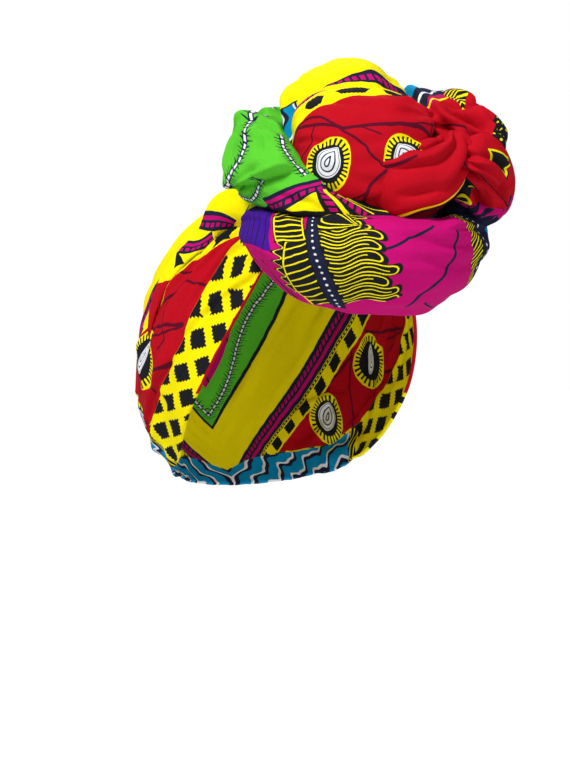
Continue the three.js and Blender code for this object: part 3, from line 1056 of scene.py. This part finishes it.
def crescentPrint(x, y):
    yield "wine", path(x, y, [(36, 8.5), (52, 8.3), (65, 4), (70, -2), (73, -9)], 1.6, [-1, 0.6, 0.3, 0])
    yield "wine", path(x, y, [(66, 3.5), (76, 4)], 1.4)
    yield "wine", path(x, y, [(51, 8.4), (44, 14)], 1.0)
    hem = y + 15.5 - (x - 30) ** 2 * 0.004
    yield "black", ink(hem + 1)
    yield "yellow", ink(size(hem) - 0.7)
    yield "black", ink(size(hem + 2.2) - 1.2) * stripes(x, 5, 3.4)


upperTwist = {
    "line": [(20, 30, 38, 10, 10), (28, 8, 41, 14, 13), (39, -10, 35, 15.5, 14),
             (53, -19, 26, 14.5, 13.5), (65, -18, 15, 11, 10)],
    "along": 180, "round": 150,
    "ridges": [((20, 14), (78, 20), 3, 2.8, 2.6), ((34, 2), (84, 8), -3, 3, 2.4),
               ((44, 32), (84, 14), 3, 2.6, 2.4), ((30, -10), (84, -6), 2, 3.4, 2.2),
               ((40, 22), (66, 28), 2, 2, 1.4), ((55, 19), (69, 4), 1.5, 2.2, -3.2),
               ((60, 22), (77, 9), 1, 2.2, -3.6), ((56, 25), (70, 26), 0, 3, -3.6),
               ((50, 17), (60, -2), 2, 1.8, -1.8), ((62, 12), (76, 0), 1, 1.8, -1.6)],
    "tucks": [((86, 10), (50, 28), -2, 6, 3.8), ((80, -2), (40, 8), 2, 6, 1.8)],
}


def upperTwistPrint(x, y):
    blue = ink(x - 46 - (y - 20) * 0.3)
    yield "magenta", ink(x - 49.5 - (y - 20) * 0.3) * stripes(y, 3.2, 2)
    yield "navy", blue
    yield "white", ink(size(x - 41.5 - (y - 20) * 0.3 - sine(y * 0.5) * 1.3) - 0.9)
    yield "blue", ink(x - 33 - (y - 20) * 0.3 - sine(y * 0.45) * 1.5)
    yield "yellow", path(x, y, [(47.5, 34), (48.5, 12), (46, 0)], 1.0)
    fx, fy = turned(x, y, 51, 5, 20)
    feather = blob(x, y, (51, 5), 20, 9, 4.2, 1)
    yield "black", feather
    yield "yellow", stripes(fx - size(fy) * 0.8, 2.4, 0.9) * feather
    end = ink(71 - x + (y - 5) * 0.4) * ink(y - 12)
    yield "black", end
    dots = root((remainder(x + y, 3.2) - 1.6) ** 2 + (remainder(x - y, 3.2) - 1.6) ** 2) - 0.55
    yield "yellow", ink(dots) * end * ink(y - 9)
    yield "wine", path(x, y, [(56, 26), (64, 18), (72, 18)], 0.8)


lowerTwist = {
    "line": [(47, -36, 20, 8, 8), (56, -26, 10, 14, 13), (56, -13, -2, 17, 17), (51, -9, -13, 14, 15),
             (42, -12, -21, 8, 10)],
    "along": 170, "round": 150,
    "ridges": [((2, 14), (44, 20), -3, 2.8, 2.6), ((2, 6), (46, 8), 3, 3, 2.2),
               ((4, -4), (44, -8), -2, 3.2, 2.4), ((10, 24), (40, 28), -2, 2.6, 1.6),
               ((20, 0), (46, 16), 2, 2.4, 1.8), ((2, 20), (28, 7), 1.5, 2.2, -3.2),
               ((4, 27), (40, 16), 2, 2.4, -3.0), ((1, 12), (18, 1), -1, 1.8, -2.2),
               ((22, 22), (46, 24), 1, 2, -1.6)],
    "tucks": [((46, 4), (4, 12), 2, 6, 3.0), ((44, -6), (14, 2), 2, 6, 2.0)],
}


def lowerTwistPrint(x, y):
    # black where it goes in under the crescent fold, with a horn and a leaf
    under = ink(24.5 - y + (x - 20) * 0.25)
    yield "black", under
    yield "yellow", blob(x, y, (30, 32), 70, 6.5, 2.6, 1.6)
    yield "black", blob(x, y, (30, 32), 70, 4.8, 1.3, 1)
    yield "yellow", path(x, y, [(14, 30), (22, 33.5), (26, 38)], 0.7)
    horn = corner(x, y, (8, 22.5), (24, 19.5), (20, 28))
    yield "black", horn
    yield "yellow", path(x, y, [(14, 23.6), (21, 22), (20, 26)], 0.7)
    # magenta and dark bars at its lower end
    bars = ink(34 - x - (y - 12) * 0.1)
    yield "navy", bars
    yield "magenta", bars * stripes(y, 5.2, 2.9) * ink(x - 44 - sine(y * 1.2) * 2)
    side = corner(x, y, (8, 1), (20, -6), (21, 6))
    yield "black", side
    yield "yellow", path(x, y, [(9.6, 0.8), (19, -4.8), (19.9, 4.7), (9.6, 0.8)], 0.9)
    yield "wine", path(x, y, [(2, 12), (18, 14), (32, 10)], 0.8, [1.5, -1])


print("rolls and twists of the bun")
rollPieces = [
    bunRoll("lowerRoll", "lower_roll", lowerRoll, lowerRollPrint, "magenta",
            loop=True),
    bunRoll("sideRoll", "side_roll", sideRoll, sideRollPrint, "green"),
    bunRoll("upperTwist", "upper_twist", upperTwist, upperTwistPrint, "red"),
    bunRoll("lowerTwist", "lower_twist", lowerTwist, lowerTwistPrint, "red"),
    bunRoll("crescentFold", "crescent_fold", crescentFold, crescentPrint, "red"),
]


# the two hollow domes
def reachOf(dome, around):
    # how far the dome comes round its rim, further at the top of one that has an over
    return dome["reach"] + dome.get("over", 0) * (0.5 + 0.5 * np.sin(around)) ** 2


def domeDisc(dome):
    # a square grid pressed into a disc: share of the way to the rim, and direction
    g = np.linspace(-1, 1, dome["cells"])
    u, v = np.meshgrid(g, g, indexing="ij")
    dx, dz = u * np.sqrt(1 - v**2 / 2), v * np.sqrt(1 - u**2 / 2)
    return np.hypot(dx, dz), np.arctan2(dz, dx)


def domeProfile(dome, degrees):
    # how far out and how far forward the dome is at a tilt from its pole
    tilt = np.radians(degrees)
    power = 2 / dome["square"]
    out = np.abs(np.sin(tilt)) ** power
    return out, dome["depth"] * squared(np.cos(tilt), power)


def domeGrid(dome):
    # a rounded dome on an outline, laid out on a disc so that it has no pole
    share, around = domeDisc(dome)
    pole = np.array(dome["pole"], float)
    fine = through(dome["outline"], np.linspace(0, 1, 721)[:-1], loop=True)
    rays = np.unwrap(np.arctan2(fine[:, 1] - pole[1], fine[:, 0] - pole[0])) % (2 * np.pi)
    sizes = np.hypot(fine[:, 0] - pole[0], fine[:, 1] - pole[1])
    order = np.argsort(rays)
    ring = np.interp(around.ravel(), rays[order], sizes[order], period=2 * np.pi).reshape(around.shape)
    out, fore = domeProfile(dome, reachOf(dome, around) * share)
    points = np.stack([
        pole[0] + ring * out * np.cos(around),
        dome["back"] - fore,
        pole[1] + ring * out * np.sin(around),
    ], axis=-1)
    return points, ring


def domeUv(dome, ring):
    # cloth lengths measured from the pole, in each direction
    share, around = domeDisc(dome)
    steps = np.linspace(0, 1, 120)
    furthest = dome["reach"] + dome.get("over", 0)
    out, fore = domeProfile(dome, furthest * steps)
    rings = np.linspace(20, 90, 36)
    pieces = [np.hypot(np.diff(r * out), np.diff(fore)) for r in rings]
    table = np.array([np.concatenate([[0], np.cumsum(piece)]) for piece in pieces])
    at = share * reachOf(dome, around) / furthest * (len(steps) - 1)
    i = np.minimum(at.astype(int), len(steps) - 2)
    j = np.clip((ring - rings[0]) / (rings[1] - rings[0]), 0, len(rings) - 1.001)
    k = j.astype(int)
    f, h = at - i, j - k
    near = table[k, i] * (1 - f) + table[k, i + 1] * f
    far = table[k + 1, i] * (1 - f) + table[k + 1, i + 1] * f
    long = near * (1 - h) + far * h
    x, y = dome["pole"]
    return np.stack([x + long * np.cos(around), y + long * np.sin(around)], axis=-1)


def makeDome(name, node, dome, draw, ground, under):
    points, ring = domeGrid(dome)
    uv = domeUv(dome, ring)
    normal = outward(points, np.array([dome["pole"][0], dome["back"] + 10, dome["pole"][1]], float))
    rise = foldsOf(dome, uv[..., 0], uv[..., 1]) + wrinkles(uv[..., 0], uv[..., 1])
    outer = points + normal * rise[..., None]
    inner = outer - normal * clothThick
    piece = sheetPiece(name, inBun(outer), inBun(inner), uv, printedCloth(name + "Cloth", ground, draw))
    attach(piece, "root")
    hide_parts(node)
    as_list(under)


crownPuff = {
    "outline": [(-43.5, 2), (-43.5, 20), (-43, 36), (-38, 46), (-26, 52), (-12, 54.5), (4, 53.5),
                (19, 48), (32, 40), (43, 28), (48, 12), (44, -6), (30, -18), (6, -24), (-18, -20),
                (-36, -10)],
    "pole": (-1, 14), "back": -6, "depth": 50, "square": 2.5, "reach": 116, "cells": 200,
    "flat": (0.17, 0.15), "cut": 0.022, "held": "gathered",
    "rimMarks": [((-36, 48), 34, 7.5, 4.2), ((-12, 57), 8, 11.5, 4.6), ((17, 57), -12, 10, 3.4)],
    # dark branches: points, width, bows
    "branches": [
        ([(-58, 29.5), (-38, 31), (-16, 27.3), (10, 29.2), (26, 28), (36, 22), (41, 14)],
         1.9, [1, 1, 0.6, 0.6, 1, 0.6]),
        ([(-50, 29), (-42, 34), (-29, 34.5), (-16, 26), (-4, 17.5), (3, 9.8), (11, 6), (26, 9.5)],
         1.4, [1, 1, 0.5, 0.5, -0.8, -1, -1.5]),
        ([(26, 11), (9, 6), (-2, -4.5), (-4, -9), (-6, -18)], 1.9, [-0.8, -0.8, 0, 0]),
        ([(-3, -7), (-14, -13), (-22, -16)], 1.5),
        ([(10, 29), (28, 30), (44, 30)], 1.0),
        ([(-47, 8), (-41.4, 15), (-35, 20), (-33, 30)], 1.1),
        ([(-6, 28), (4, 24)], 0.9),
        ([(33, 31), (35, 22), (41, 14)], 1.2),
        ([(-60, 22), (-52, 27), (-46, 30)], 1.2),
    ],
    "ridges": [((50, 34), (6, 46), 2, 3.5, 1.8), ((50, 28), (4, 32), -1, 4, 1.5),
               ((-50, 30), (-20, 6), 3, 6, 1.0), ((48, 40), (20, 56), 2, 4, 1.3),
               ((-58, 12), (-40, -8), 1, 4, 1.0), ((-20, -8), (10, -14), 2, 5, 0.8),
               ((38, 32), (60, 36), 0, 6, -6.5), ((32, 18), (46, 36), 0, 2.4, -2.2),
               ((48, 22), (30, 14), 1, 3, -1.8), ((54, 30), (16, 38), -2, 1.8, -1.1),
               ((46, 26), (14, 22), 2, 2, -1.1), ((-46, 22), (-24, 18), 2, 2.2, -0.9),
               ((-8, -16), (16, -8), 1, 2.2, -0.9), ((-40, 44), (-10, 42), 2, 2.4, -0.8)],
}


def crownPuffPrint(x, y):
    for branch in crownPuff["branches"]:
        yield "wine", path(x, y, *branch)
    yield from eye(x, y, (-24.5, 8.5), 56, 32, 26)
    for name, mask in eye(x, y, (18, 10.5), 118, 30, 27):
        yield name, mask * above(y, 9.0)
    # the yellow rim with its pinked marks, ending in a navy edge
    rim = y - 51 + (x - 4) ** 2 * 0.0074 - most(size(x + 20) - 22, 0.0) * 0.32
    yield "yellow", ink(rim * -1)
    for centre, degrees, halfX, halfY in crownPuff["rimMarks"]:
        mx, my = turned(x, y, *centre, degrees)
        jag = size(remainder(mx, 2.6) - 1.3) - 0.65
        yield "black", ink(most(size(mx) - halfX + size(my) * 0.9, size(my) - halfY - jag * 0.5))
    over = rim - 17
    yield "navy", ink(over * -1)
    yield "magenta", ink(over * -1) * stripes(x + y * 0.4, 4.4, 2.6) * ink(rim - 22)
    # beyond, the cloth turns red and blue again behind the knot
    yield "blue", ink(24 - rim)


backFold = {
    "outline": [(-48, 4), (-48, 24), (-48, 42), (-48, 50), (-46.5, 54.5), (-41, 59), (-28, 67),
                (-14, 71.5), (-4, 70.5), (5, 66.5), (12, 59.5), (21, 48), (30, 30), (30, 8), (18, -8),
                (-10, -16), (-40, -10)],
    "pole": (-10, 20), "back": 12, "depth": 46, "square": 2.6, "reach": 112, "over": 40, "cells": 140,
    "flat": (0.18, 0.15), "cut": 0.022, "held": "folded",
    "ridges": [((-44, 70), (-20, 44), 2, 5, 1.2), ((-6, 74), (4, 50), 2, 5, 0.8),
               ((-60, 60), (-52, 20), 2, 4, 1.6), ((20, 74), (30, 44), 2, 5, 1.2),
               ((-30, 116), (-22, 92), 2, 4, -1.2), ((10, 120), (4, 94), 2, 4, -1.2)],
}


def backFoldPrint(x, y):
    # a rope band that narrows to the left, above a yellow border
    middle = 60.5 - (x - 2) ** 2 * 0.0115
    wide = least(most(x + 27, 0.0) * 0.36, 12.0)
    band = ink(size(y - middle) - wide * 0.5) * ink(x - 34)
    yield "navy", band
    blocks = stripes(x + y * 0.35, 4.6, 2.9)
    yield "magenta", blocks * ink(size(y - middle + wide * 0.08) - wide * 0.24) * ink(x - 30)
    yield "blue", ink(38 - x)
    side = ink(x + 42.5 + (y - 30) * 0.02) * ink(y - 47)
    yield "blue", side
    yield from seaOver(side, y, x * -1 + (y - 20) * 0.2, 11)
    yield "black", ink(size(y - 47) - 0.5) * ink(x + 42)
    yield "green", ink(x + 74)


print("crown puff and the fold behind it")
makeDome("crownPuff", "crown_puff", crownPuff, crownPuffPrint, "red", rollPieces[:2])
makeDome("backFold", "back_fold", backFold, backFoldPrint, "yellow", rollPieces[:2])


# floor, light and camera
studio = {
    "floor": -0.34, "reach": 40, "glow": 0.8, "room": 0.27, "backdrop": 1.0,
    "aim": (-0.0019, 0.00125, -0.109), "turn": 33, "distance": 1.5, "lens": 123,
    "lampAim": (0, 0, -0.05),
    # way round from the front, distance, height, size, watts
    "lamps": {"keyLight": (66, 1.2, 1.2, 0.34, 28), "fillLight": (-10, 1.5, 0.3, 1.0, 6.5),
              "topLight": (200, 1.2, 1.5, 0.9, 9)},
}


def makeRoom():
    # white where it shows, softer where it lights the cloth
    world = bpy.data.worlds.new("softRoom")
    world.use_nodes = True
    tree = world.node_tree
    shine = tree.nodes["Background"]
    shine.inputs["Strength"].default_value = studio["room"]
    seen = tree.nodes.new("ShaderNodeBackground")
    seen.inputs["Color"].default_value = (1, 1, 1, 1)
    shine.inputs["Color"].default_value = (1, 1, 1, 1)
    seen.inputs["Strength"].default_value = studio["backdrop"]
    light = tree.nodes.new("ShaderNodeLightPath")
    mix = tree.nodes.new("ShaderNodeMixShader")
    tree.links.new(light.outputs["Is Camera Ray"], mix.inputs[0])
    tree.links.new(shine.outputs[0], mix.inputs[1])
    tree.links.new(seen.outputs[0], mix.inputs[2])
    tree.links.new(mix.outputs[0], tree.nodes["World Output"].inputs[0])
    bpy.context.scene.world = world
    bpy.context.scene.view_settings.view_transform = "Standard"


def makeCamera():
    t = math.radians(studio["turn"])
    away = Vector((-math.sin(t), -math.cos(t), 0))
    aim = Vector(studio["aim"])
    data = bpy.data.cameras.new("camera")
    data.lens = studio["lens"]
    data.sensor_width = 36
    camera = bpy.data.objects.new("camera", data)
    camera.location = aim + away * studio["distance"]
    camera.rotation_euler = (aim - camera.location).to_track_quat("-Z", "Y").to_euler()
    bpy.context.scene.collection.objects.link(camera)
    bpy.context.scene.camera = camera


def makeLamps():
    for name, (way, far, up, wide, power) in studio["lamps"].items():
        lamp = bpy.data.lights.new(name, "AREA")
        lamp.size = wide
        lamp.energy = power
        light = bpy.data.objects.new(name, lamp)
        a = math.radians(way)
        light.location = Vector((-math.sin(a) * far, -math.cos(a) * far, up))
        aim = Vector(studio["lampAim"]) - light.location
        light.rotation_euler = aim.to_track_quat("-Z", "Y").to_euler()
        bpy.context.scene.collection.objects.link(light)


def makeFloor():
    material = bpy.data.materials.new("paleFloor")
    material.use_nodes = True
    shader = material.node_tree.nodes["Principled BSDF"]
    shader.inputs["Base Color"].default_value = (0.86, 0.86, 0.86, 1)
    shader.inputs["Roughness"].default_value = 0.9
    shader.inputs["Emission Color"].default_value = (1, 1, 1, 1)
    tree = material.node_tree
    light = tree.nodes.new("ShaderNodeLightPath")
    glow = tree.nodes.new("ShaderNodeMath")
    glow.operation = "MULTIPLY"
    glow.inputs[1].default_value = studio["glow"]
    tree.links.new(light.outputs["Is Camera Ray"], glow.inputs[0])
    tree.links.new(glow.outputs[0], shader.inputs["Emission Strength"])
    s, z = studio["reach"], studio["floor"]
    mesh = bpy.data.meshes.new("floor")
    mesh.from_pydata([(-s, -s, z), (s, -s, z), (s, s, z), (-s, s, z)], [], [(0, 1, 2, 3)])
    mesh.materials.append(material)
    floor = bpy.data.objects.new("floor", mesh)
    bpy.context.scene.collection.objects.link(floor)


print("light and camera")
makeRoom()
makeCamera()
makeLamps()
makeFloor()
